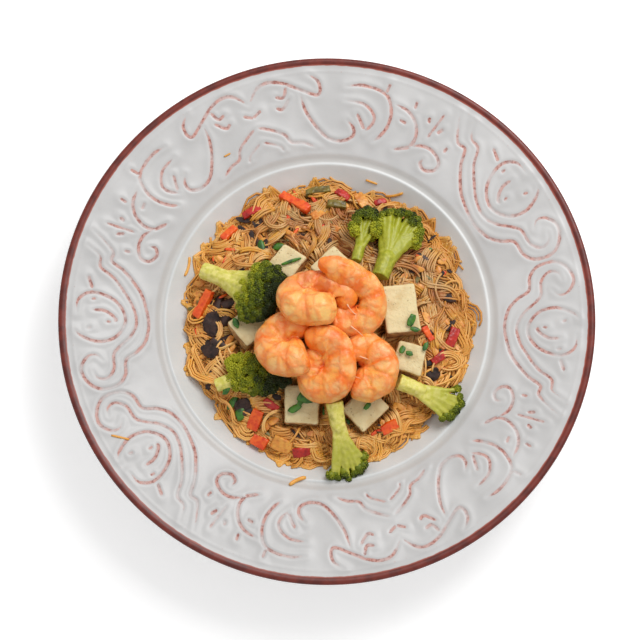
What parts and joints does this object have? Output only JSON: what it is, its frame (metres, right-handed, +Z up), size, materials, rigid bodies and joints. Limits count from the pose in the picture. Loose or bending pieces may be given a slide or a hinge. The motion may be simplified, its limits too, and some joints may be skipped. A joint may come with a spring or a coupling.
{
  "type": "plated pad thai",
  "caption": "Stir-fried thin rice noodles topped with shrimp, tofu cubes and broccoli, served in a wide-rimmed embossed pasta plate.",
  "frame": {"origin": "centre of the plate's foot ring, on the table", "axes": "+Z up; +Y points away from the eater and +X to the right, as the plate is served"},
  "size_m": [0.3, 0.3, 0.0676],
  "materials": {
    "plate": "glossy pale grey-white glaze over embossed scrollwork worn to red-brown clay, red-brown edge band",
    "noodles": "soft, slightly oily cooked rice vermicelli, tan with golden and brown strands",
    "shrimp": "moist cooked shrimp, orange with cream and pink patches",
    "tofu": "matte pale cream with small pores",
    "broccoli": "pale yellow-green stalk, dark green beaded crown",
    "carrot": "moist cut carrot",
    "pepper": "soft glossy red pepper",
    "onion": "translucent golden fried onion",
    "green_bean": "soft olive-green bean",
    "wood_ear": "dark glossy wood-ear mushroom"
  },
  "bodies": {
    "root": {"plate": "plate", "noodle_heap": "noodles", "shrimp_1": "shrimp", "shrimp_2": "shrimp", "shrimp_3": "shrimp", "shrimp_4": "shrimp", "shrimp_5": "shrimp", "tofu_1": "tofu", "tofu_2": "tofu", "tofu_3": "tofu", "tofu_4": "tofu", "tofu_5": "tofu", "tofu_6": "tofu", "tofu_7": "tofu", "broccoli_1": "broccoli", "broccoli_2": "broccoli", "broccoli_3": "broccoli", "broccoli_4": "broccoli", "broccoli_5": "broccoli", "broccoli_6": "broccoli", "carrot_1": "carrot", "carrot_2": "carrot", "carrot_3": "carrot", "carrot_4": "carrot", "carrot_5": "carrot", "carrot_6": "carrot", "carrot_7": "carrot", "pepper_1": "pepper", "pepper_2": "pepper", "pepper_3": "pepper", "pepper_4": "pepper", "pepper_5": "pepper", "pepper_6": "pepper", "pepper_7": "pepper", "onion_1": "onion", "onion_2": "onion", "onion_3": "onion", "green_bean_1": "green_bean", "green_bean_2": "green_bean", "wood_ear_1": "wood_ear", "wood_ear_2": "wood_ear", "wood_ear_3": "wood_ear", "wood_ear_4": "wood_ear", "wood_ear_5": "wood_ear"}
  },
  "joints": []
}
